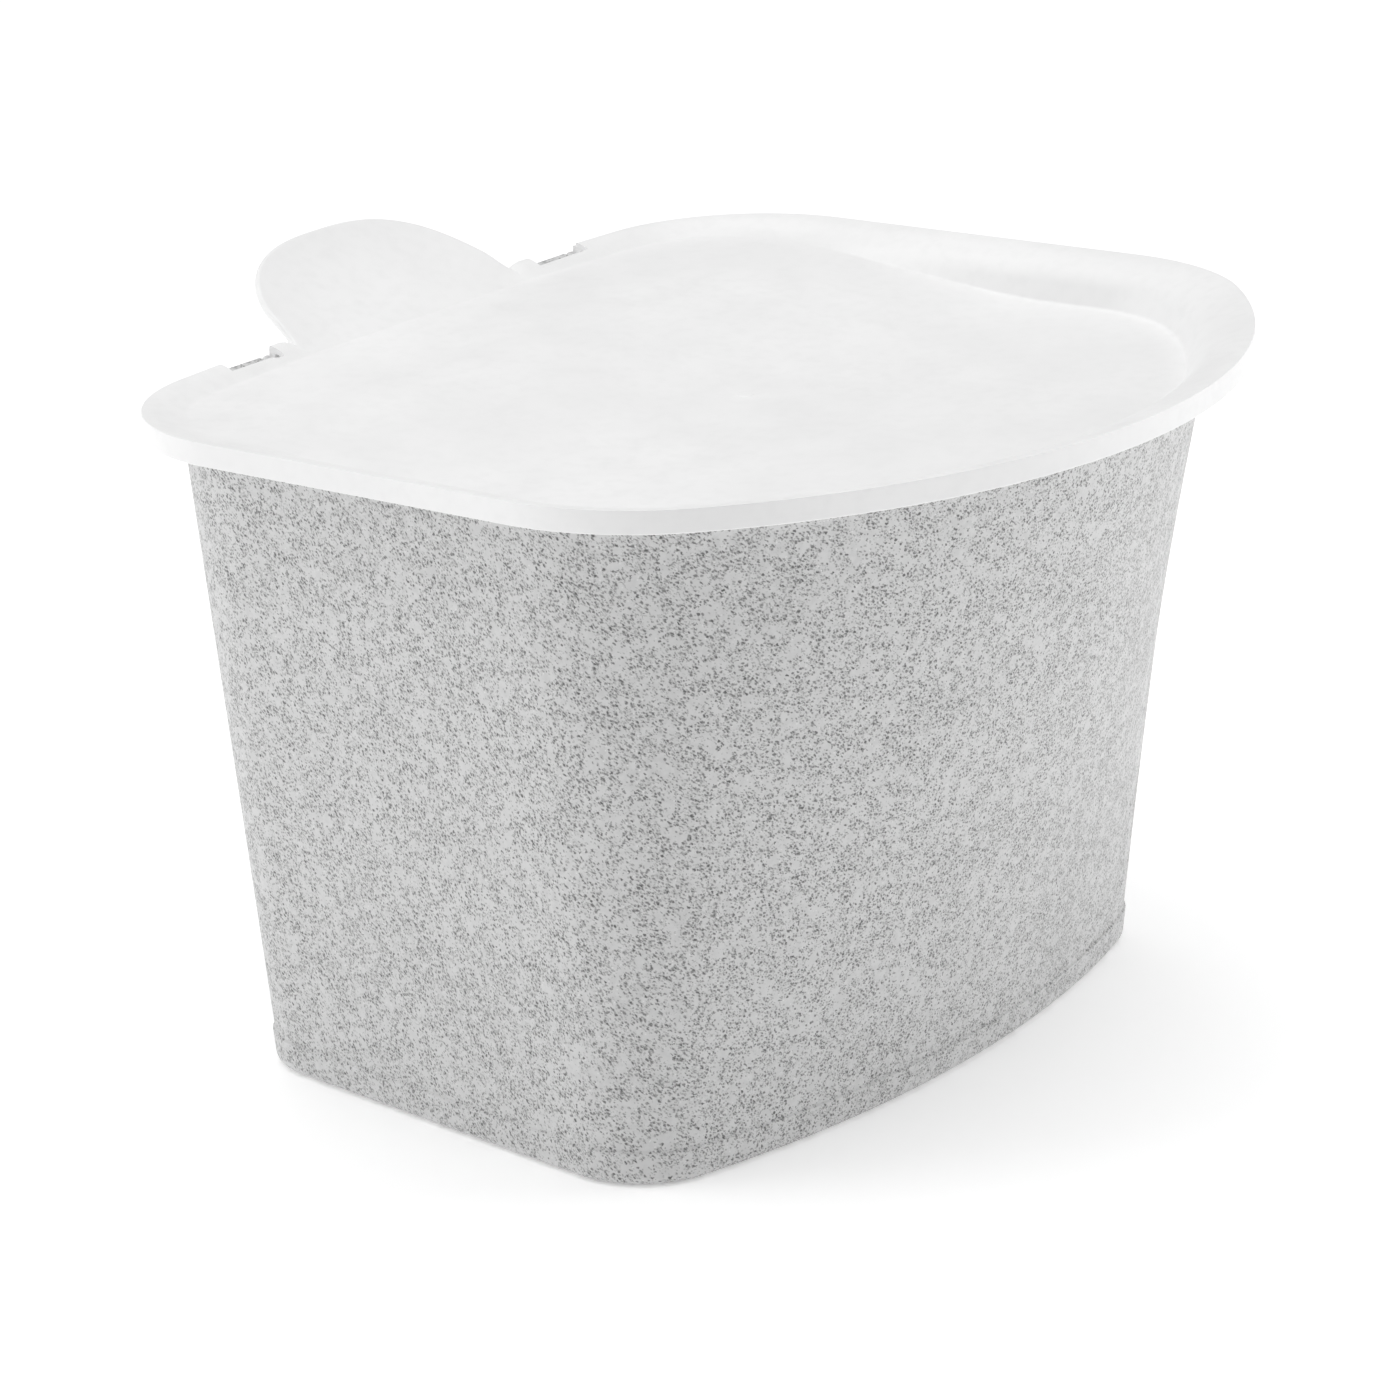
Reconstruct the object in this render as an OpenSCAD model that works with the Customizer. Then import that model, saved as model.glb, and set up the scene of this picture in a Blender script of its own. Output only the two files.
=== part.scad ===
// Countertop pet food bin: a tapered, bow-fronted tub with a lid hinged along its back edge.
// Frame: origin at the middle of the base on the surface it stands on, +Z up, front towards -Y.

/* [Overall] */
// Height of the lid's top edge above the surface
rim_h = 186; // [150:1:230]
// Distance from the middle of the base back to the datum line of the back edge
back_y = 96; // [90:1:110]

/* [Lid outline] */
// Half width of the lid on the datum line
lid_half_w = 136; // [128:1:140]
// How far each side of the lid flares outwards towards the front, in degrees
lid_flare = 1.5; // [0:0.1:3]
// Distance from the datum line to the middle of the lid's front edge
lid_depth = 240.5; // [225:0.5:250]
// How far the middle of the lid's back edge bows out behind the datum line
lid_bow = 1.5; // [0.5:0.1:3]
// Radius of the lid's back corners
lid_back_r = 48; // [40:1:55]
// Radius of the lid's front corners
lid_front_r = 59; // [50:1:65]
// Radius of the lid's bowed front edge
lid_front_arc_r = 174; // [168:1:200]

/* [Lid section] */
// Height of the skirt round the lid's edge
skirt_h = 6.2; // [5:0.1:7]
// Thickness of the skirt
skirt_t = 1.8; // [1.4:0.1:2.2]
// Thickness of the lid's flange and panel
lid_t = 2; // [1.6:0.1:2.2]
// Width of the sloping flange at the sides and front
flange_w = 15; // [14:0.5:16]
// Width of the flange along the back
flange_back_w = 4; // [3.5:0.5:4.5]
// Depth of the panel below the rim at the back
panel_back_drop = 3.5; // [3.5:0.1:3.7]
// Depth of the panel below the rim at the front
panel_front_drop = 12; // [9:0.5:13]

/* [Tub] */
// Half width of the tub's mouth on the datum line
mouth_half_w = 125.8; // [124:0.1:126]
// Distance from the datum line to the middle of the mouth's front edge
mouth_depth = 228.4; // [226:0.1:229]
// Half width of the base on the datum line
base_half_w = 93.5; // [88:0.5:98]
// How far each side of the base flares outwards towards the front, in degrees
base_flare = 8.2; // [6:0.1:9]
// Distance from the datum line to the middle of the base's front edge
base_depth = 179; // [170:1:190]
// Wall thickness
wall_t = 2; // [1.8:0.1:2]
// Height of the slightly proud band round the foot of the wall
band_h = 9.5; // [6:0.5:14]
// How far that band stands out from the wall
band_out = 0.4; // [0.2:0.1:0.6]

/* [Grip tab] */
// Half width of the tab
tab_half_w = 45.5; // [40:0.5:47]
// Length of the tab from its root to its crown
tab_len = 39.5; // [34:0.5:44]
// Slope of the tab above the horizontal, in degrees
tab_slope = 35; // [28:1:42]
// Thickness of the tab
tab_t = 2.6; // [2:0.1:3]

/* [Hinge] */
// Distance of each hinge from the middle of the lid
hinge_x = 65.5; // [64:0.5:67]
// Width of the notch cut in the lid's edge for each hinge
notch_w = 21; // [20:0.5:22]
// Length of each hinge knuckle
knuckle_w = 15; // [13:0.5:16]
// Radius of each hinge knuckle
knuckle_r = 2.5; // [2.4:0.1:2.6]
// Radius of each hinge pin
pin_r = 1.2; // [1.0:0.1:1.3]
// Depth of the hinge axis below the rim
axis_drop = 5.3; // [5.2:0.1:5.5]
// Distance of the hinge axis behind the datum line
axis_back = 1; // [0.8:0.1:1.2]

/* [Hidden] */

TUB_GREY = [0.76, 0.76, 0.75];
LID_WHITE = [0.95, 0.95, 0.95];
PIN_GREY = [0.45, 0.45, 0.45];

// Steps along each stretch of an outline, over half the outline
BACK_STEPS = 5;
CORNER_STEPS = 9;
SIDE_STEPS = 8;
FRONT_STEPS = 14;
WALL_STEPS = 3;
ROUND_STEP = 30;
TAB_ROWS = 11;
TAB_HALF_COLUMNS = 8;
// Sizes of the loops that cross the lid's panel, as shares of the panel
PANEL_LOOPS = [0.3, 0.6, 0.82];

back_arc_r = 1350;
mouth_back_r = 37;
mouth_front_r = 60;
mouth_front_arc_r = 162;
mouth_back_y = -9.3;
base_back_r = 21.5;
base_front_r = 24.5;
base_front_arc_r = 353;
base_back_y = -12.4;

flange_drop = 3;
flange_back_drop = 0.8;
crease_w = 18;
crease_back_w = 7;
// The flange grows from its back width to its side width over this distance forwards
flange_grow = 50;
// The panel falls from its back depth to its front depth between these distances forwards
fall_start = 32;
fall_end = 132;
panel_middle = [0, -115];
edge_round = 0.4;
// The lid's underside is stepped out here, to stay clear of the tub's rim
under_crease_in = 0.6;
under_crease_out = 1;
under_crease_drop = 0.3;
under_flange_out = 0.2;

rim_out = 3;
rim_t = 2.2;
rim_drop = 6;
rim_bevel = 1.5;
band_bevel = 0.5;
floor_t = 2.6;
foot_r = 3;
cove_r = 5;

tab_root_y = -2.5;
tab_root_drop = 3.6;
tab_curl = 10;
tab_waist = 4;
tab_power = 2.2;
tab_dish = 1.6;
tab_dish_run = 16;
tab_crown = 0.998;

pin_clearance = 0.05;
pin_hold = 0.02;
boss_w = 6;
web_t = 2;
arm_t = 2.1;
arm_gap = 6.4;
notch_depth = 2.3;
notch_reach = 10;
past = 1;
pin_half = notch_w / 2 + boss_w;
wall_top = rim_h - skirt_h;
axis_y = back_y + axis_back;
axis_z = rim_h - axis_drop;
$fn = 48;

function clamp01(t) = min(1, max(0, t));
function smooth(t) = let (c = clamp01(t)) c * c * (3 - 2 * c);
function mix(a, b, t) = a + (b - a) * t;
function reversed(list) = [for (i = [len(list) - 1:-1:0]) list[i]];

// An outline is a loop of [point, outward normal] pairs, clockwise from the middle of its back.
function arc_steps(centre, r, a0, a1, n) = [
    for (i = [0:n - 1])
        let (a = mix(a0, a1, i / n), out = [cos(a), sin(a)])
            [centre + r * out, out]
];

function line_steps(p0, p1, out, n) = [for (i = [0:n - 1]) [mix(p0, p1, i / n), out]];

// Middle of a corner arc that touches the straight side and the end arc of radius arc_r
function corner_middle(side, flare, arc_y, arc_r, r, way) =
    let (across = side - r - arc_y * sin(flare))
        [0, arc_y] + across * [cos(flare), sin(flare)]
        + way * sqrt(pow(arc_r - r, 2) - pow(across, 2)) * [sin(flare), -cos(flare)];

function half_outline(half_w, flare, back, back_r, depth, front_arc_r, front_r) =
    let (
        side = half_w * cos(flare),
        out = [cos(flare), sin(flare)],
        back_mid = back - back_arc_r,
        front_mid = front_arc_r - depth,
        cb = corner_middle(side, flare, back_mid, back_arc_r, back_r, -1),
        cf = corner_middle(side, flare, front_mid, front_arc_r, front_r, 1),
        a_back = atan2(cb.y - back_mid, cb.x),
        a_front = atan2(cf.y - front_mid, cf.x)
    )
    concat(
        arc_steps([0, back_mid], back_arc_r, 90, a_back, BACK_STEPS),
        arc_steps(cb, back_r, a_back, flare, CORNER_STEPS),
        line_steps(cb + back_r * out, cf + front_r * out, out, SIDE_STEPS),
        arc_steps(cf, front_r, flare, a_front, CORNER_STEPS),
        arc_steps([0, front_mid], front_arc_r, a_front, -90, FRONT_STEPS),
        [[[0, -depth], [0, -1]]]
    );

function flip(v) = [-v.x, v.y];

function mirrored(half) = concat(
    half,
    [for (i = [len(half) - 2:-1:1]) [flip(half[i][0]), flip(half[i][1])]]
);

lid_outline = mirrored(half_outline(
    lid_half_w, lid_flare, lid_bow, lid_back_r, lid_depth, lid_front_arc_r, lid_front_r));
mouth_outline = mirrored(half_outline(
    mouth_half_w, lid_flare, mouth_back_y, mouth_back_r, mouth_depth, mouth_front_arc_r,
    mouth_front_r));
base_outline = mirrored(half_outline(
    base_half_w, base_flare, base_back_y, base_back_r, base_depth, base_front_arc_r,
    base_front_r));
count = len(lid_outline);

// A closed solid through a stack of rings, with a single point at each end.
module loft(rings, first, last) {
    n = len(rings[0]);
    m = len(rings);
    points = concat([first], [for (ring = rings) each ring], [last]);
    end = m * n + 1;
    faces = concat(
        [for (i = [0:n - 1]) [0, 1 + (i + 1) % n, 1 + i]],
        [
            for (k = [0:m - 2], i = [0:n - 1])
                let (a = 1 + k * n, b = a + n, j = (i + 1) % n)
                    each [[a + i, a + j, b + j], [a + i, b + j, b + i]]
        ],
        [for (i = [0:n - 1]) let (a = 1 + (m - 1) * n) [end, a + i, a + (i + 1) % n]]
    );
    polyhedron(points = points, faces = faces, convexity = 6);
}

// How far round from the back edge, 0, to the sides and front, 1, a point at this y lies
function sideness(y) = let (t = clamp01((lid_bow - y) / flange_grow)) 1 - pow(1 - t, 2);
function flange_at(y) = mix(flange_back_w, flange_w, sideness(y));
function flange_drop_at(y) = mix(flange_back_drop, flange_drop, sideness(y));
function crease_at(y) = mix(crease_back_w, crease_w, sideness(y));
function panel_drop(y) = mix(
    panel_back_drop, panel_front_drop, smooth((-y - fall_start) / (fall_end - fall_start)));

function inset(item, d) = item[0] - d * item[1];
function raised(p, drop) = [p.x, p.y + back_y, rim_h - drop];

function flat_lid_ring(d, drop) = [for (item = lid_outline) raised(inset(item, d), drop)];
function flange_ring(d, below) = [
    for (item = lid_outline)
        let (y = item[0].y) raised(inset(item, flange_at(y) + d), flange_drop_at(y) + below)
];
function crease_ring(d, below) = [
    for (item = lid_outline)
        let (p = inset(item, crease_at(item[0].y) + d)) raised(p, panel_drop(p.y) + below)
];
function panel_ring(scale, below) = [
    for (item = lid_outline)
        let (
            edge = inset(item, crease_at(item[0].y)),
            p = mix(panel_middle, edge, scale)
        )
        raised(p, panel_drop(p.y) + below)
];

module lid_shell() {
    under = [
        for (share = PANEL_LOOPS) panel_ring(share, lid_t),
        crease_ring(under_crease_in, lid_t),
        crease_ring(-under_crease_out, under_crease_drop),
        flange_ring(-under_flange_out, lid_t),
        flat_lid_ring(skirt_t, lid_t),
        flat_lid_ring(skirt_t, skirt_h)
    ];
    over = [
        flat_lid_ring(0, skirt_h),
        flat_lid_ring(0, edge_round),
        flat_lid_ring(edge_round, 0),
        flange_ring(0, 0),
        crease_ring(0, 0),
        for (share = reversed(PANEL_LOOPS)) panel_ring(share, 0)
    ];
    loft(
        concat(under, over),
        raised(panel_middle, panel_drop(panel_middle.y) + lid_t),
        raised(panel_middle, panel_drop(panel_middle.y))
    );
}

// The notches in the lid's back edge that let the knuckles through to the axis.
module notches() {
    for (side = [-1, 1])
        translate([side * hinge_x - notch_w / 2, back_y - notch_depth, wall_top - past])
            cube([notch_w, notch_reach, skirt_h + 2 * past]);
}

// Four bosses under the lid's edge, one on each side of each notch, hold the pins.
module bosses() {
    for (side = [-1, 1], end = [-1, 1]) {
        near = side * hinge_x + end * notch_w / 2;
        x0 = min(near, near + end * boss_w);
        on_axis(x0, x0 + boss_w, knuckle_r);
        translate([x0, axis_y - knuckle_r, axis_z])
            cube([boss_w, web_t, axis_drop - lid_t / 2]);
    }
}

module lid() {
    color(LID_WHITE)
        difference() {
            union() {
                lid_shell();
                bosses();
            }
            notches();
            for (x = [-hinge_x, hinge_x])
                on_axis(x - pin_half - past, x + pin_half + past, pin_r + pin_hold);
        }
}

// Half width of the tab at a distance s from its root, a superellipse
function tab_half(s) =
    let (t = abs(s - tab_waist) / (tab_len - tab_waist))
        tab_half_w * pow(max(0, 1 - pow(t, tab_power)), 1 / tab_power);

module grip_tab() {
    // Rows crowd towards the crown and columns towards the sides, where the outline turns
    rows = [for (i = [0:TAB_ROWS]) tab_crown * tab_len * sin(90 * i / TAB_ROWS)];
    across = [for (i = [-TAB_HALF_COLUMNS:TAB_HALF_COLUMNS]) sin(90 * i / TAB_HALF_COLUMNS)];
    // The tab curls up towards its crown, so the line to each row steepens evenly
    function along(s) =
        let (a = tab_slope + tab_curl * (s / tab_len - 1))
            [s * cos(a), s * sin(a)];
    function spot(s, u, lift) =
        let (q = along(s), rise = lift + tab_dish * u * u * smooth(s / tab_dish_run))
            [
                u * tab_half(s),
                back_y + tab_root_y + q.x - rise * sin(tab_slope),
                rim_h - tab_root_drop + q.y + rise * cos(tab_slope)
            ];
    function row(s) = concat(
        [for (u = across) spot(s, u, 0)],
        [for (u = reversed(across)) spot(s, u, -tab_t)]
    );
    color(LID_WHITE)
        loft(
            [for (s = reversed(rows)) row(s)],
            spot(rows[TAB_ROWS], 0, -tab_t / 2),
            spot(0, 0, -tab_t / 2)
        );
}

// A stretch of the hinge axis, from x0 to x1, as a cylinder
module on_axis(x0, x1, r) {
    translate([x0, axis_y, axis_z])
        rotate([0, 90, 0])
            cylinder(r = r, h = x1 - x0);
}

module knuckle(x) {
    x0 = x - knuckle_w / 2;
    difference() {
        union() {
            on_axis(x0, x0 + knuckle_w, knuckle_r);
            translate([x0, back_y + mouth_back_y - wall_t / 2, rim_h - arm_gap - arm_t])
                cube([knuckle_w, axis_back - mouth_back_y + wall_t / 2, arm_t]);
        }
        on_axis(x0 - past, x0 + knuckle_w + past, pin_r + pin_clearance);
    }
}

module hinge_knuckle_left() {
    color(TUB_GREY) knuckle(-hinge_x);
}

module hinge_knuckle_right() {
    color(TUB_GREY) knuckle(hinge_x);
}

module hinge_pin(x) {
    color(PIN_GREY) on_axis(x - pin_half, x + pin_half, pin_r);
}

module hinge_pin_left() {
    hinge_pin(-hinge_x);
}

module hinge_pin_right() {
    hinge_pin(hinge_x);
}

// A ring of the tub's wall: height z, inset d, on the straight ruling from base to mouth
function wall_ring(z, d) = [
    for (i = [0:count - 1])
        let (
            t = z / wall_top,
            p = mix(inset(base_outline[i], d), inset(mouth_outline[i], d), t)
        )
        [p.x, p.y + back_y, z]
];
function rim_ring(d, below) = [
    for (item = mouth_outline) raised(inset(item, d), rim_drop + below)
];

// Rings part of the way up the wall, at a given inset
function wall_steps(d) = [
    for (i = [1:WALL_STEPS - 1]) wall_ring(wall_top * i / WALL_STEPS, d)
];

module tub() {
    foot = [
        for (a = [0:ROUND_STEP:90])
            wall_ring(foot_r * (1 - cos(a)), foot_r * (1 - sin(a)) - band_out)
    ];
    cove = [
        for (a = [0:ROUND_STEP:90])
            wall_ring(floor_t + cove_r * (1 - sin(a)), wall_t + cove_r * (1 - cos(a)))
    ];
    outside = [
        wall_ring(band_h, -band_out),
        wall_ring(band_h + band_bevel, 0),
        each wall_steps(0),
        rim_ring(0, rim_t + rim_bevel),
        rim_ring(-rim_out, rim_t),
        rim_ring(-rim_out, 0)
    ];
    inside = [rim_ring(wall_t, 0), each reversed(wall_steps(wall_t))];
    color(TUB_GREY)
        loft(concat(foot, outside, inside, cove), [0, 0, 0], [0, 0, floor_t]);
}

tub();
hinge_knuckle_left();
hinge_knuckle_right();
lid();
grip_tab();
hinge_pin_left();
hinge_pin_right();
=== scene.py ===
import math

import bpy
from mathutils import Matrix, Vector


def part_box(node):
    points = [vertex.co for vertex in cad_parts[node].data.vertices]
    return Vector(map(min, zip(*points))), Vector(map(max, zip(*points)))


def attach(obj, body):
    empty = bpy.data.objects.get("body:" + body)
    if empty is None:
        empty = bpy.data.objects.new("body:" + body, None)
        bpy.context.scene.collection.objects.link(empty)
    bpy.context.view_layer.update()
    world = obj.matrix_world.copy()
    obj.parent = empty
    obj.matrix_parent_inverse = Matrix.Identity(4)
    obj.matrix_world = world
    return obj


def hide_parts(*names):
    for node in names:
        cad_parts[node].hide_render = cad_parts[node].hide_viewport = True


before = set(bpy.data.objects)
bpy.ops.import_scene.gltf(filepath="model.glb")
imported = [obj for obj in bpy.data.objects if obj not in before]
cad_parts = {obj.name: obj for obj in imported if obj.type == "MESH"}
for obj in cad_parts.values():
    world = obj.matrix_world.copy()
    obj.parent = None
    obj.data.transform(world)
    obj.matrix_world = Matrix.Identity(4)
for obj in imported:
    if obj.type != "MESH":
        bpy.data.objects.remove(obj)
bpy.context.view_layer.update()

MM = 0.001


def box_mm(node):
    low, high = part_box(node)
    return low / MM, high / MM


# Places taken from the frame
LID_LOW, LID_HIGH = box_mm("lid")
TUB_HIGH = box_mm("tub")[1]
PIN_LOW, PIN_HIGH = box_mm("hinge_pin_right")
KNUCKLE_HIGH = box_mm("hinge_knuckle_right")[1]
RIM_Z = LID_HIGH.z
RIM_DROP = RIM_Z - TUB_HIGH.z
AXIS_Y = (PIN_LOW.y + PIN_HIGH.y) / 2
AXIS_Z = (PIN_LOW.z + PIN_HIGH.z) / 2
HINGE_X = (PIN_LOW.x + PIN_HIGH.x) / 2
PIN_HALF = (PIN_HIGH.x - PIN_LOW.x) / 2
PIN_R = (PIN_HIGH.z - PIN_LOW.z) / 2
KNUCKLE_R = KNUCKLE_HIGH.z - AXIS_Z

# Lid outline and section
LID_HALF_W = 136
FLARE = 1.5
LID_DEPTH = 240.5
LID_BOW = 1.5
BACK_ARC_R = 1350
LID_BACK_R = 48
LID_FRONT_R = 59
LID_FRONT_ARC_R = 174
BACK_Y = LID_LOW.y + LID_DEPTH
SKIRT_H = 6.2
SKIRT_T = 1.8
LID_T = 2
# Sizes given as pairs are for the back edge and for the sides and front
LIP = ((1.4, 4.5), (0.15, 0.7))
ROLL = ((3.4, 13), (0.9, 3.8))
CREASE = (7, 18)
TOP_CUTS = ((0.6, 2.2), (0.9, 3.8), (0.6, 0.9))
FLANGE_GROW = 50
LANDING = (3, 7)
PANEL_DROP = (3.5, 12)
PANEL_FALL = (32, 132)
PANEL_MIDDLE = Vector((0, -115))
# How far each corner of a lid section is cut back to round it, skirt first and under side last
SKIRT_CUTS = (0.5, 0.4)
UNDER_CUTS = (0.3, 0.3, 0.5, 0.15, 0.15)
BOSS_W = 6
WEB_T = 2
NOTCH_HALF = PIN_HALF - BOSS_W
NOTCH_DEPTH = 5
BORE_GAP = 0.02
WEB_INSET = 0.05
LEDGE_OVERLAP = 0.5
# The floor of each notch is a ledge that reaches back over the knuckle, clear of it
LEDGE_DROP = 3
LEDGE_T = 1.9
LEDGE_FRONT = -5.2
LEDGE_BACK = 0.2
KNUCKLE_GAP = 0.35
# The flange dips under the grip tab between these distances from the middle
SCOOP = (43, 51)
SCOOP_DROP = 2.1

# Tub outlines and section
MOUTH_HALF_W = 125.8
MOUTH_BACK_Y = -9.3
MOUTH_BACK_R = 37
MOUTH_DEPTH = 228.4
MOUTH_FRONT_R = 60
MOUTH_FRONT_ARC_R = 162
BASE_HALF_W = 93.5
BASE_FLARE = 8.2
BASE_BACK_Y = -12.4
BASE_BACK_R = 21.5
BASE_DEPTH = 179
BASE_FRONT_R = 24.5
BASE_FRONT_ARC_R = 353
WALL_T = 2
WALL_TOP = RIM_Z - SKIRT_H
RIM_OUT = 3
RIM_T = 2.2
BAND_H = 9.5
BAND_OUT = 0.6
FLOOR_T = 2.6
FOOT_R = 3
COVE_R = 5

# Grip tab
TAB_HALF_W = 45.9
TAB_LEN = 41.7
TAB_SLOPE = math.radians(29.6)
TAB_CURL = math.radians(14.2)
TAB_T = 2.4
TAB_POWER = 2.55
TAB_ROOT = Vector((-6.6, -3.55))
TAB_DISH = 2.4
TAB_DISH_RUN = 16
TAB_NECK = 5
TAB_NECK_RUN = 12
# The tab's edge is square at its root and fully round this far up
TAB_ROUND_RUN = 8
# Rings on the tab's faces: shares of the way from its middle to its edge
TAB_MIDDLE_SHARE = 0.42
TAB_LOOPS = (0.12, 0.25, 0.38, 0.5, 0.62, 0.74, 0.85, 0.94)
TAB_EDGE_STEPS = 72
TAB_ROOT_STEPS = 40

# Camera, at the photograph's viewpoint
CAMERA_AT = (-1.12508, -0.85615, 0.55145)
CAMERA_YAW = 52.9700
CAMERA_PITCH = 18.0878
CAMERA_ROLL = -2.0899
CAMERA_LENS = 143.02
CAMERA_SHIFT = (-0.01476, -0.00564)


def mix(a, b, t):
    return a + (b - a) * t


def smooth(t):
    t = min(1, max(0, t))
    return t * t * (3 - 2 * t)


# ---------------------------------------------------------------- outlines

BACK_STEPS = 40
CORNER_STEPS = 26
SIDE_STEPS = 24
FRONT_STEPS = 54


def polar(angle):
    return Vector((math.cos(angle), math.sin(angle)))


def arc_steps(centre, radius, start, end, steps):
    """[point, outward normal] pairs along an arc, its end point left out."""
    angles = [mix(start, end, i / steps) for i in range(steps)]
    return [(centre + radius * polar(a), polar(a)) for a in angles]


def corner_middle(side, flare, arc_y, arc_r, radius, way):
    """Middle of a corner arc that touches the straight side and the end arc."""
    across = side - radius - arc_y * math.sin(flare)
    along = way * math.sqrt((arc_r - radius) ** 2 - across ** 2)
    return (
        Vector((0, arc_y))
        + across * polar(flare)
        + along * Vector((math.sin(flare), -math.cos(flare)))
    )


def outline(half_w, flare_degrees, back, back_r, depth, front_arc_r, front_r):
    """A closed loop of [point, outward normal], clockwise from the middle of the back."""
    flare = math.radians(flare_degrees)
    side = half_w * math.cos(flare)
    out = polar(flare)
    back_mid = Vector((0, back - BACK_ARC_R))
    front_mid = Vector((0, front_arc_r - depth))
    at_back = corner_middle(side, flare, back_mid.y, BACK_ARC_R, back_r, -1)
    at_front = corner_middle(side, flare, front_mid.y, front_arc_r, front_r, 1)
    back_turn = math.atan2(at_back.y - back_mid.y, at_back.x)
    front_turn = math.atan2(at_front.y - front_mid.y, at_front.x)
    start = at_back + back_r * out
    end = at_front + front_r * out
    half = (
        arc_steps(back_mid, BACK_ARC_R, math.pi / 2, back_turn, BACK_STEPS)
        + arc_steps(at_back, back_r, back_turn, flare, CORNER_STEPS)
        + [(mix(start, end, i / SIDE_STEPS), out) for i in range(SIDE_STEPS)]
        + arc_steps(at_front, front_r, flare, front_turn, CORNER_STEPS)
        + arc_steps(front_mid, front_arc_r, front_turn, -math.pi / 2, FRONT_STEPS)
        + [(Vector((0, -depth)), Vector((0, -1)))]
    )
    mirror = [(Vector((-p.x, p.y)), Vector((-n.x, n.y))) for p, n in half[-2:0:-1]]
    return half + mirror


LID_OUTLINE = outline(
    LID_HALF_W, FLARE, LID_BOW, LID_BACK_R, LID_DEPTH, LID_FRONT_ARC_R, LID_FRONT_R)
MOUTH_OUTLINE = outline(
    MOUTH_HALF_W, FLARE, MOUTH_BACK_Y, MOUTH_BACK_R, MOUTH_DEPTH, MOUTH_FRONT_ARC_R, MOUTH_FRONT_R)
BASE_OUTLINE = outline(
    BASE_HALF_W, BASE_FLARE, BASE_BACK_Y, BASE_BACK_R, BASE_DEPTH, BASE_FRONT_ARC_R, BASE_FRONT_R)


def inset(item, distance):
    return item[0] - distance * item[1]


def raised(p, drop):
    return Vector((p.x, p.y + BACK_Y, RIM_Z - drop))


# ---------------------------------------------------------------- meshes

def solid(name, rings, first, last):
    """A closed mesh through a stack of rings, with a single point at each end."""
    n = len(rings[0])
    points = [first] + [p for ring in rings for p in ring] + [last]
    end = len(points) - 1
    faces = [(0, 1 + i, 1 + (i + 1) % n) for i in range(n)]
    for k in range(len(rings) - 1):
        a = 1 + k * n
        b = a + n
        faces += [(a + i, b + i, b + (i + 1) % n, a + (i + 1) % n) for i in range(n)]
    a = end - n
    faces += [(end, a + (i + 1) % n, a + i) for i in range(n)]
    mesh = bpy.data.meshes.new(name)
    mesh.from_pydata([p * MM for p in points], [], faces)
    mesh.validate()
    piece = bpy.data.objects.new(name, mesh)
    bpy.context.scene.collection.objects.link(piece)
    return piece


def rod(name, x0, x1, radius, steps=48):
    """A round rod along the hinge axis."""
    def ring(x, r):
        turns = [-2 * math.pi * i / steps for i in range(steps)]
        return [Vector((x, AXIS_Y + r * math.cos(a), AXIS_Z + r * math.sin(a))) for a in turns]
    ends = Vector((x0, AXIS_Y, AXIS_Z)), Vector((x1, AXIS_Y, AXIS_Z))
    return solid(name, [ring(x0, radius), ring(x1, radius)], *ends)


def block(name, low, high):
    """A plain box, used as a web or a cutter."""
    def ring(z):
        corners = [(low[0], low[1]), (low[0], high[1]), (high[0], high[1]), (high[0], low[1])]
        return [Vector((x, y, z)) for x, y in corners]
    middle = (Vector(low) + Vector(high)) / 2
    ends = Vector((middle.x, middle.y, low[2])), Vector((middle.x, middle.y, high[2]))
    return solid(name, [ring(low[2]), ring(high[2])], *ends)


def combine(piece, others, operation):
    """Applies a boolean with each of the others to the piece's mesh, then removes them."""
    for other in others:
        made = piece.modifiers.new("cut", "BOOLEAN")
        made.operation = operation
        made.solver = "EXACT"
        made.object = other
    evaluated = piece.evaluated_get(bpy.context.evaluated_depsgraph_get())
    mesh = bpy.data.meshes.new_from_object(evaluated)
    piece.modifiers.clear()
    old = piece.data
    piece.data = mesh
    bpy.data.meshes.remove(old)
    for other in others:
        used = other.data
        bpy.data.objects.remove(other)
        bpy.data.meshes.remove(used)


def finish_surface(piece, material, sharp_degrees=40):
    """Smooth shading that keeps hard edges, weighted so that large faces stay flat."""
    mesh = piece.data
    mesh.shade_smooth()
    mesh.set_sharp_from_angle(angle=math.radians(sharp_degrees))
    weighted = piece.modifiers.new("weighted", "WEIGHTED_NORMAL")
    weighted.keep_sharp = True
    mesh.materials.clear()
    mesh.materials.append(material)


def softened(points, cuts, steps=6):
    """A polyline whose inner corners are rounded off, each from its cut distance away."""
    out = [points[0]]
    for before, corner, after, cut in zip(points, points[1:], points[2:], cuts):
        start = corner + (before - corner).normalized() * cut
        end = corner + (after - corner).normalized() * cut
        for i in range(steps + 1):
            t = i / steps
            out.append(start * (1 - t) ** 2 + corner * 2 * t * (1 - t) + end * t * t)
    return out + [points[-1]]


# ---------------------------------------------------------------- lid

def sideness(y):
    """0 at the back edge, 1 from FLANGE_GROW in front of it."""
    t = min(1, max(0, (LID_BOW - y) / FLANGE_GROW))
    return 1 - (1 - t) ** 2


def panel_drop(y):
    start, end = PANEL_FALL
    return mix(*PANEL_DROP, smooth((-y - start) / (end - start)))


def scoop(item):
    """How far the flange's top is lowered here to pass under the grip tab."""
    near, far = SCOOP
    at_back = 1 - smooth(sideness(item[0].y) * 4)
    return SCOOP_DROP * at_back * smooth((far - abs(item[0].x)) / (far - near))


def place(pair, side, below):
    """The (inset, drop) of a named line on the lid, part of the way from the back to the sides."""
    return [mix(*pair[0], side), mix(*pair[1], side) + below]


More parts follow.
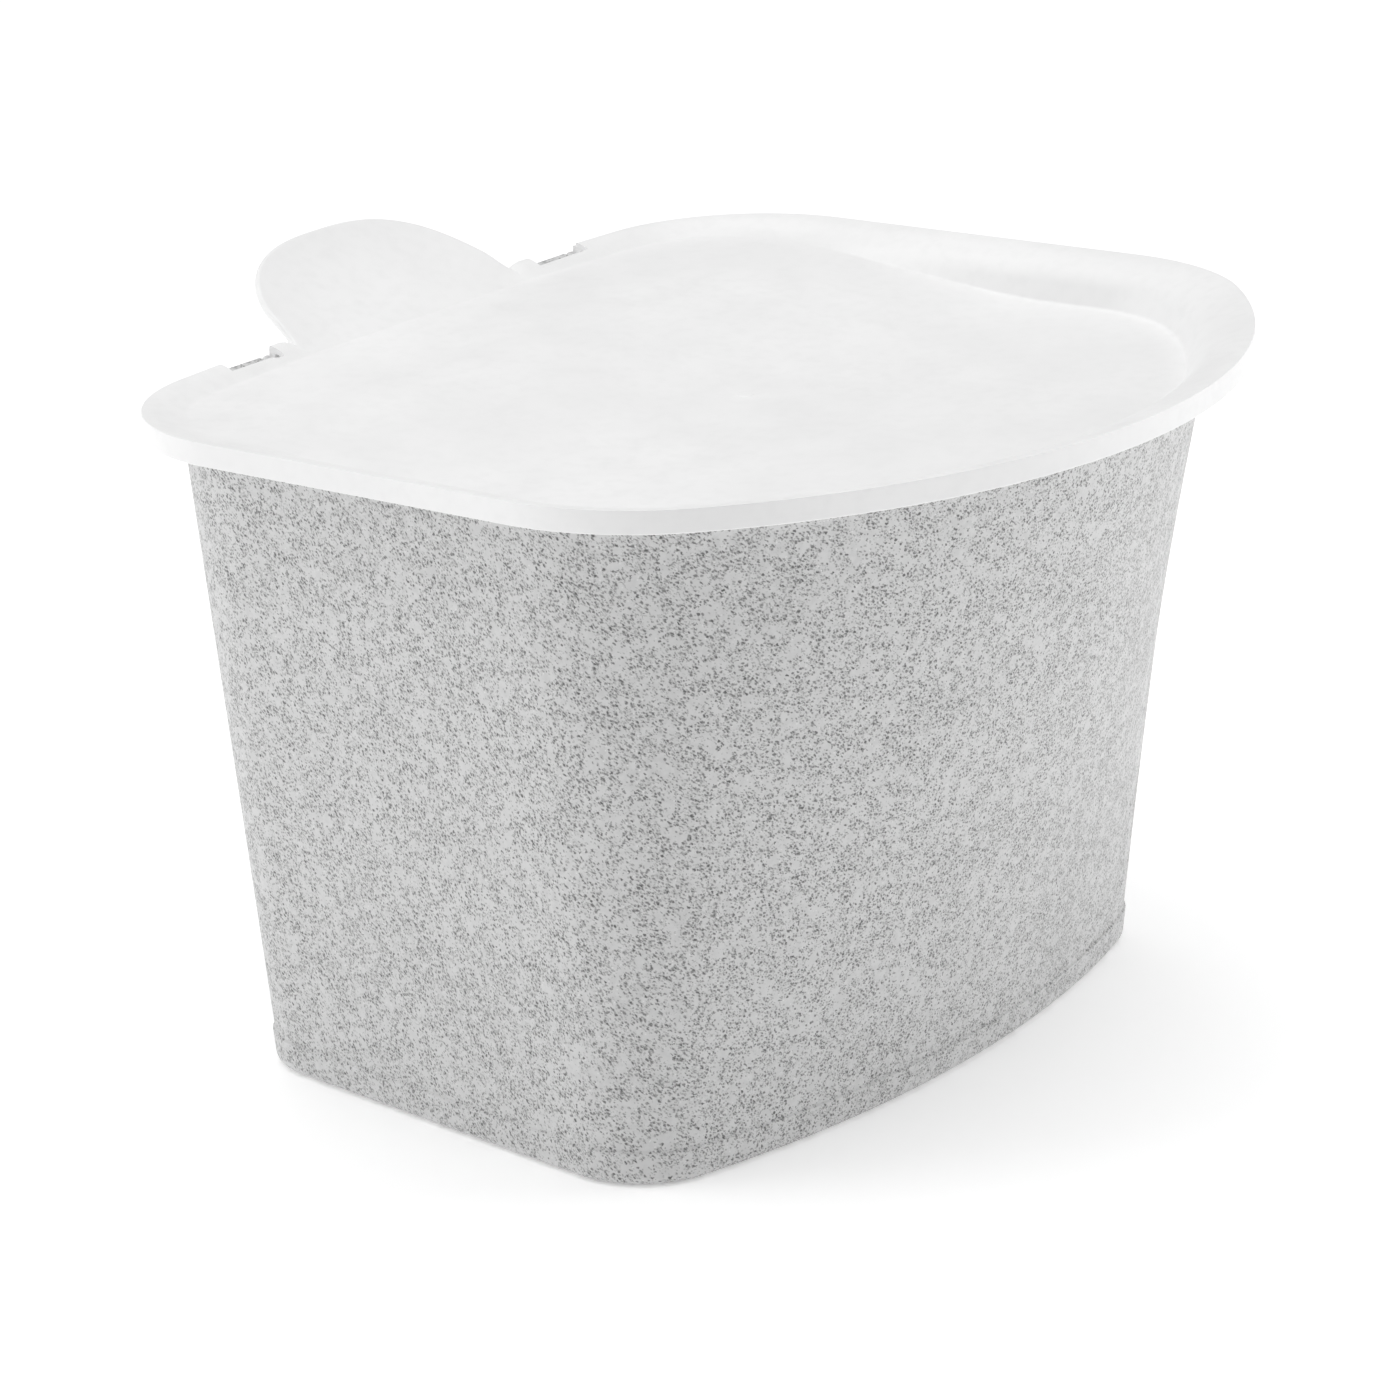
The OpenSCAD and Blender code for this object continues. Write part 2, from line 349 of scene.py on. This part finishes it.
def panel_place(item, distance, below):
    return [distance, panel_drop(inset(item, distance).y) + below]


def lid_top_section(item):
    """(inset, drop) pairs over the top of the lid, from the skirt's inner foot to the panel."""
    side = sideness(item[0].y)
    dip = scoop(item)
    crease = mix(*CREASE, side)
    landing = crease + mix(*LANDING, side)
    corners = [
        [SKIRT_T, SKIRT_H], [0, SKIRT_H], [0, dip], place(LIP, side, dip), place(ROLL, side, dip),
        panel_place(item, crease, 0), panel_place(item, landing, 0)
    ]
    cuts = SKIRT_CUTS + tuple(mix(*pair, side) for pair in TOP_CUTS)
    return softened([Vector(c) for c in corners], cuts)


def lid_under_section(item):
    """(inset, drop) pairs under the lid, from the panel to the skirt's inner foot."""
    side = sideness(item[0].y)
    crease = mix(*CREASE, side)
    dip = scoop(item)
    lip, roll = place(LIP, side, dip), place(ROLL, side, dip)
    corners = [
        panel_place(item, crease + 3, LID_T), panel_place(item, crease + 0.3, LID_T),
        panel_place(item, crease - 1.4, 0.5), [roll[0] - 0.4, roll[1] + 1.65],
        [lip[0] + SKIRT_T, lip[1] + LID_T], [SKIRT_T, LID_T + dip], [SKIRT_T, SKIRT_H]
    ]
    return softened([Vector(c) for c in corners], UNDER_CUTS, 3)


PANEL_LOOPS = (0.06, 0.12, 0.2, 0.3, 0.4, 0.5, 0.6, 0.7, 0.78, 0.85)
GATE_LOOPS = ((1.5, -0.14), (1.75, -0.11), (1.9, 0), (2.4, 0))


def panel_ring(share, below):
    ring = []
    for item in LID_OUTLINE:
        side = sideness(item[0].y)
        edge = inset(item, mix(*CREASE, side) + mix(*LANDING, side))
        p = mix(PANEL_MIDDLE, edge, share)
        ring.append(raised(p, panel_drop(p.y) + below))
    return ring


def gate_ring(radius, below):
    """A circle about the middle of the panel."""
    ring = []
    for item in LID_OUTLINE:
        p = PANEL_MIDDLE + radius * (item[0] - PANEL_MIDDLE).normalized()
        ring.append(raised(p, panel_drop(p.y) + below))
    return ring


def section_rings(section):
    sections = [[raised(inset(item, d), z) for d, z in section(item)] for item in LID_OUTLINE]
    return [list(ring) for ring in zip(*sections)]


def make_lid(material):
    under = [panel_ring(share, LID_T) for share in PANEL_LOOPS]
    over = [gate_ring(*loop) for loop in GATE_LOOPS] + [panel_ring(s, 0) for s in PANEL_LOOPS]
    rings = under + section_rings(lid_under_section)
    rings += section_rings(lid_top_section)[1:] + over[::-1]
    middle = panel_drop(PANEL_MIDDLE.y)
    button = GATE_LOOPS[0][1]
    lid = solid(
        "lid_shell", rings, raised(PANEL_MIDDLE, middle + LID_T),
        raised(PANEL_MIDDLE, middle + button))
    bosses = []
    cutters = []
    ledges = []
    clearances = []
    for side in (-1, 1):
        for end in (-1, 1):
            near = side * HINGE_X + end * NOTCH_HALF
            x0, x1 = sorted((near, near + end * BOSS_W))
            bosses.append(rod("boss", x0, x1, KNUCKLE_R))
            bosses.append(block(
                "web", (x0 + WEB_INSET, AXIS_Y - KNUCKLE_R, AXIS_Z),
                (x1 - WEB_INSET, AXIS_Y - KNUCKLE_R + WEB_T, RIM_Z - LID_T / 2)))
        x = side * HINGE_X
        cutters.append(block(
            "notch", (x - NOTCH_HALF, BACK_Y - NOTCH_DEPTH, WALL_TOP - 1),
            (x + NOTCH_HALF, BACK_Y + 10, RIM_Z + 1)))
        cutters.append(rod("bore", x - PIN_HALF - 1, x + PIN_HALF + 1, PIN_R + BORE_GAP))
        ledge_half = NOTCH_HALF + LEDGE_OVERLAP
        ledge_top = RIM_Z - LEDGE_DROP
        ledges.append(block(
            "ledge", (x - ledge_half, BACK_Y + LEDGE_FRONT, ledge_top - LEDGE_T),
            (x + ledge_half, BACK_Y + LEDGE_BACK, ledge_top)))
        clearances.append(rod(
            "clearance", x - NOTCH_HALF, x + NOTCH_HALF, KNUCKLE_R + KNUCKLE_GAP))
    combine(lid, bosses, "UNION")
    combine(lid, cutters, "DIFFERENCE")
    combine(lid, ledges, "UNION")
    combine(lid, clearances, "DIFFERENCE")
    finish_surface(lid, material)
    return lid


# ---------------------------------------------------------------- grip tab

def tab_half(s):
    t = min(1, s / TAB_LEN)
    neck = TAB_NECK * (1 - min(1, s / TAB_NECK_RUN)) ** 2
    return TAB_HALF_W * (1 - t ** TAB_POWER) ** (1 / TAB_POWER) + neck


def tab_point(x, s, lift):
    """A point on the tab: x across, s up its slope from the root, lift off its upper face."""
    lean = TAB_SLOPE + TAB_CURL * (s / TAB_LEN - 1)
    rise = lift + TAB_DISH * (x / TAB_HALF_W) ** 2 * smooth(s / TAB_DISH_RUN)
    return Vector((
        x,
        BACK_Y + TAB_ROOT.x + s * math.cos(lean) - rise * math.sin(TAB_SLOPE),
        RIM_Z + TAB_ROOT.y + s * math.sin(lean) + rise * math.cos(TAB_SLOPE)
    ))


def tab_outline():
    """The tab's edge as (x, s) points, round from its right root to its left one."""
    steps = TAB_EDGE_STEPS
    edge = []
    for i in range(steps + 1):
        turn = math.pi / 2 * i / steps
        s = TAB_LEN * math.sin(turn)
        edge.append(Vector((tab_half(s) if i < steps else 0, s)))
    left = [Vector((-p.x, p.y)) for p in edge[-2::-1]]
    root = [mix(left[-1], edge[0], i / TAB_ROOT_STEPS) for i in range(1, TAB_ROOT_STEPS)]
    return edge + left + root


def make_tab(material):
    edge = tab_outline()
    n = len(edge)
    middle = Vector((0, TAB_LEN * TAB_MIDDLE_SHARE))
    inward = []
    for i in range(n):
        along = (edge[(i + 1) % n] - edge[i - 1]).normalized()
        inward.append(Vector((-along.y, along.x)) * smooth(edge[i].y / TAB_ROUND_RUN))
    radius = TAB_T / 2
    turns = [math.pi / 2 - math.pi * i / 8 for i in range(9)]
    rounds = [(radius * (1 - math.cos(a)), radius * (math.sin(a) - 1)) for a in turns]

    def flat_ring(share, lift):
        return [tab_point(*mix(middle, p + radius * d, share), lift) for p, d in zip(edge, inward)]

    rings = [flat_ring(share, 0) for share in TAB_LOOPS]
    for gap, lift in rounds:
        rings.append([tab_point(*(p + gap * d), lift) for p, d in zip(edge, inward)])
    rings += [flat_ring(share, -TAB_T) for share in TAB_LOOPS[::-1]]
    tab = solid("grip_tab_shell", rings, tab_point(*middle, 0), tab_point(*middle, -TAB_T))
    finish_surface(tab, material, 60)
    return tab


# ---------------------------------------------------------------- tub

def wall_ring(z, distance):
    """A ring of the wall at height z, on the straight ruling from the base to the mouth."""
    t = z / WALL_TOP
    ring = []
    for base, mouth in zip(BASE_OUTLINE, MOUTH_OUTLINE):
        p = mix(inset(base, distance), inset(mouth, distance), t)
        ring.append(Vector((p.x, p.y + BACK_Y, z)))
    return ring


def rim_ring(distance, below):
    return [raised(inset(item, distance), RIM_DROP + below) for item in MOUTH_OUTLINE]


def make_tub(material):
    quarter = [math.pi / 2 * i / 8 for i in range(9)]
    foot = [
        wall_ring(FOOT_R * (1 - math.cos(a)), FOOT_R * (1 - math.sin(a)) - BAND_OUT)
        for a in quarter
    ]
    step = [(-0.2, BAND_OUT), (-0.05, 0.9 * BAND_OUT), (0.25, 0.15 * BAND_OUT), (0.45, 0)]
    band = [wall_ring(BAND_H + z, -out) for z, out in step]
    heights = [mix(BAND_H + 2, WALL_TOP - 6, i / 12) for i in range(13)]
    rim = [
        (0, RIM_T + 1.5), (-0.25, RIM_T + 0.6), (-1, RIM_T + 0.1), (0.2 - RIM_OUT, RIM_T),
        (-RIM_OUT, RIM_T - 0.2), (-RIM_OUT, 0.3), (0.3 - RIM_OUT, 0), (WALL_T - 0.3, 0),
        (WALL_T, 0.3)
    ]
    cove = [
        wall_ring(FLOOR_T + COVE_R * (1 - math.sin(a)), WALL_T + COVE_R * (1 - math.cos(a)))
        for a in quarter
    ]
    rings = foot + band + [wall_ring(z, 0) for z in heights]
    rings += [rim_ring(*place) for place in rim]
    rings += [wall_ring(z, WALL_T) for z in heights[::-1]] + cove
    tub = solid("tub_shell", rings, Vector((0, 0, 0)), Vector((0, 0, FLOOR_T)))
    finish_surface(tub, material)
    return tub


# ---------------------------------------------------------------- materials

def srgb(value):
    """A grey given as an 8-bit sRGB value, as linear light."""
    c = value / 255
    return c / 12.92 if c < 0.04045 else ((c + 0.055) / 1.055) ** 2.4


def grey(value):
    return (srgb(value), srgb(value), srgb(value), 1)


class Nodes:
    """A short way to write a shader tree."""

    def __init__(self, name):
        self.material = bpy.data.materials.new(name)
        self.material.use_nodes = True
        self.tree = self.material.node_tree
        self.shader = self.tree.nodes["Principled BSDF"]
        self.place = self.add("ShaderNodeTexCoord").outputs["Object"]

    def add(self, kind, **settings):
        node = self.tree.nodes.new(kind)
        for key, value in settings.items():
            setattr(node, key, value)
        return node

    def feed(self, socket, value):
        if hasattr(value, "is_linked"):
            self.tree.links.new(value, socket)
        else:
            socket.default_value = value

    def math(self, operation, a, b=0.0, clamp=False):
        node = self.add("ShaderNodeMath", operation=operation, use_clamp=clamp)
        self.feed(node.inputs[0], a)
        self.feed(node.inputs[1], b)
        return node.outputs[0]

    def ramp(self, value, low, high, start=0.0, end=1.0):
        """Value from low..high mapped smoothly to start..end."""
        node = self.add("ShaderNodeMapRange", interpolation_type="SMOOTHSTEP")
        for key, number in (("From Min", low), ("From Max", high), ("To Min", start), ("To Max", end)):
            node.inputs[key].default_value = number
        self.feed(node.inputs["Value"], value)
        return node.outputs["Result"]

    def noise(self, scale, detail=2.0, place=None):
        node = self.add("ShaderNodeTexNoise")
        node.inputs["Scale"].default_value = scale
        node.inputs["Detail"].default_value = detail
        self.feed(node.inputs["Vector"], place or self.place)
        return node.outputs["Fac"]

    def cells(self, scale, place):
        """Voronoi cells: distance to the cell's point, and two random values for the cell."""
        node = self.add("ShaderNodeTexVoronoi")
        node.inputs["Scale"].default_value = scale
        self.feed(node.inputs["Vector"], place)
        parts = self.add("ShaderNodeSeparateColor")
        self.feed(parts.inputs[0], node.outputs["Color"])
        return node.outputs["Distance"], parts.outputs[0], parts.outputs[1]

    def blend(self, share, a, b):
        node = self.add("ShaderNodeMix", data_type="RGBA")
        self.feed(node.inputs["Factor"], share)
        self.feed(node.inputs[6], a)
        self.feed(node.inputs[7], b)
        return node.outputs[2]

    def bump(self, height, distance, strength=1.0):
        node = self.add("ShaderNodeBump")
        node.inputs["Strength"].default_value = strength
        node.inputs["Distance"].default_value = distance
        self.feed(node.inputs["Height"], height)
        self.feed(self.shader.inputs["Normal"], node.outputs["Normal"])


FLECK_LEAN = Vector((-1, 1, 1.3))
FLECK_STRETCH = 1.7
FLECK_WARP = 0.0009
# Scale, share of cells that hold a fleck, distances where it starts and ends to fade, and its two greys
FLECK_LAYERS = (
    (1900, 0.9, 0.2, 0.55, 152, 186),
    (1450, 0.9, 0.18, 0.52, 106, 160),
    (1050, 0.65, 0.16, 0.46, 82, 138),
)


def speckled_plastic():
    """Light grey moulded plastic filled with dark grey flecks."""
    t = Nodes("speckled_plastic")
    warp = t.add("ShaderNodeTexNoise")
    warp.inputs["Scale"].default_value = 1100
    warp.inputs["Detail"].default_value = 2
    t.feed(warp.inputs["Vector"], t.place)
    shift = t.add("ShaderNodeVectorMath", operation="MULTIPLY_ADD")
    t.feed(shift.inputs[0], warp.outputs["Color"])
    shift.inputs[1].default_value = (FLECK_WARP, FLECK_WARP, FLECK_WARP)
    t.feed(shift.inputs[2], t.place)
    slant = t.add("ShaderNodeMapping", vector_type="TEXTURE")
    slant.inputs["Rotation"].default_value = FLECK_LEAN.to_track_quat("Z", "Y").to_euler()
    slant.inputs["Scale"].default_value = (1, 1, FLECK_STRETCH)
    t.feed(slant.inputs["Vector"], shift.outputs[0])
    place = slant.outputs[0]

    density = t.ramp(t.noise(260, 3), 0.36, 0.56, 0.2, 1)
    base = t.blend(t.ramp(t.noise(34, 3), 0.3, 0.7), grey(203), grey(209))
    base = t.blend(t.ramp(t.noise(500, 4), 0.35, 0.65), base, grey(213))

    for scale, cover, near, far, dark, light in FLECK_LAYERS:
        distance, chance, tone = t.cells(scale, place)
        picked = t.math("LESS_THAN", chance, t.math("MULTIPLY", density, cover))
        shape = t.ramp(distance, near, far, 1, 0)
        fleck = t.blend(tone, grey(dark), grey(light))
        base = t.blend(t.math("MULTIPLY", picked, shape), base, fleck)

    distance, chance, tone = t.cells(1200, t.place)
    picked = t.math("LESS_THAN", chance, 0.12)
    base = t.blend(t.math("MULTIPLY", picked, t.ramp(distance, 0.1, 0.4, 0.7, 0)), base, grey(232))
    t.feed(t.shader.inputs["Base Color"], base)
    t.feed(t.shader.inputs["Roughness"], t.ramp(t.noise(90, 4), 0.3, 0.7, 0.44, 0.54))
    t.bump(t.noise(1500, 3), 0.00004, 0.5)
    return t.material


def white_plastic():
    """Satin white polypropylene with faint flow marks and a fine moulded grain."""
    t = Nodes("white_plastic")
    flow = t.ramp(t.noise(16, 3), 0.3, 0.7)
    base = t.blend(flow, grey(243), grey(247))
    base = t.blend(t.ramp(t.noise(260, 3), 0.4, 0.75, 0, 0.5), base, grey(240))
    t.feed(t.shader.inputs["Base Color"], base)
    t.feed(t.shader.inputs["Roughness"], t.ramp(t.noise(60, 4), 0.3, 0.7, 0.36, 0.46))
    t.bump(t.noise(900, 3), 0.00003, 0.4)
    return t.material


def pin_steel():
    """Grey hinge pin, finely drawn along its length."""
    t = Nodes("pin_steel")
    stretch = t.add("ShaderNodeMapping")
    stretch.inputs["Scale"].default_value = (0.08, 1, 1)
    t.feed(stretch.inputs["Vector"], t.place)
    grain = t.noise(2600, 3, stretch.outputs[0])
    t.feed(t.shader.inputs["Base Color"], t.blend(grain, grey(120), grey(168)))
    t.shader.inputs["Metallic"].default_value = 0.85
    t.feed(t.shader.inputs["Roughness"], t.ramp(grain, 0.3, 0.7, 0.28, 0.42))
    t.bump(grain, 0.00002, 0.4)
    return t.material


def pale_floor():
    t = Nodes("pale_floor")
    base = t.blend(t.noise(1.5, 2), grey(250), grey(252))
    t.feed(t.shader.inputs["Base Color"], base)
    t.shader.inputs["Roughness"].default_value = 0.9
    t.shader.inputs["Specular IOR Level"].default_value = 0.1
    t.shader.inputs["Emission Color"].default_value = (1, 1, 1, 1)
    t.shader.inputs["Emission Strength"].default_value = 0.25
    return t.material


# ---------------------------------------------------------------- scene

FLOOR_HALF = 12000
FLOOR_TOP = -0.1
FLOOR_UNDER = -20


def make_floor():
    half = FLOOR_HALF
    floor = block("floor", (-half, -half, FLOOR_UNDER), (half, half, FLOOR_TOP))
    floor.data.materials.append(pale_floor())


def aim(thing, at, target):
    thing.location = at
    thing.rotation_euler = (Vector(target) - Vector(at)).to_track_quat("-Z", "Y").to_euler()


LIGHT_TARGET = (0, 0, 0.09)
WORLD_STRENGTH = 0.3
# Name, place and size in metres, and power in watts
LIGHTS = (
    ("light_top", (0, 0.3, 4.1), (5, 5), 140),
    ("light_left", (-1.0, 1.3, 0.7), (1.2, 1.0), 8),
    ("light_right", (1.3, -1.2, 0.6), (1.2, 1.0), 9.5),
)


def soft_light(name, at, size, power):
    """A rectangular studio light aimed at the middle of the object."""
    light = bpy.data.lights.new(name, "AREA")
    light.shape = "RECTANGLE"
    light.size, light.size_y = size
    light.energy = power
    lamp = bpy.data.objects.new(name, light)
    bpy.context.scene.collection.objects.link(lamp)
    aim(lamp, at, LIGHT_TARGET)


def make_light():
    world = bpy.data.worlds.new("studio")
    world.use_nodes = True
    world.node_tree.nodes["Background"].inputs["Color"].default_value = (1, 1, 1, 1)
    world.node_tree.nodes["Background"].inputs["Strength"].default_value = WORLD_STRENGTH
    bpy.context.scene.world = world
    bpy.context.scene.view_settings.view_transform = "Standard"
    for light in LIGHTS:
        soft_light(*light)


def make_camera():
    yaw, pitch, roll = (math.radians(a) for a in (CAMERA_YAW, CAMERA_PITCH, CAMERA_ROLL))
    forward = Vector((
        math.sin(yaw) * math.cos(pitch), math.cos(yaw) * math.cos(pitch), -math.sin(pitch)))
    level = Vector((math.cos(yaw), -math.sin(yaw), 0))
    above = level.cross(forward)
    right = level * math.cos(roll) + above * math.sin(roll)
    up = above * math.cos(roll) - level * math.sin(roll)
    data = bpy.data.cameras.new("camera")
    data.lens = CAMERA_LENS
    data.shift_x, data.shift_y = CAMERA_SHIFT
    camera = bpy.data.objects.new("camera", data)
    turn = Matrix((right, up, -forward)).transposed().to_4x4()
    camera.matrix_world = Matrix.Translation(CAMERA_AT) @ turn
    bpy.context.scene.collection.objects.link(camera)
    bpy.context.scene.camera = camera


def dress(node, material):
    """Gives a carried-over CAD node its material."""
    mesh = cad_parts[node].data
    mesh.materials.clear()
    mesh.materials.append(material)


make_camera()
make_light()
make_floor()

speckled = speckled_plastic()
white = white_plastic()
steel = pin_steel()

tub = make_tub(speckled)
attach(tub, "tub")
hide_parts("tub")

lid = make_lid(white)
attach(lid, "lid")
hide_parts("lid")

tab = make_tab(white)
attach(tab, "lid")
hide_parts("grip_tab")

for side in ("left", "right"):
    dress("hinge_knuckle_" + side, speckled)
    dress("hinge_pin_" + side, steel)
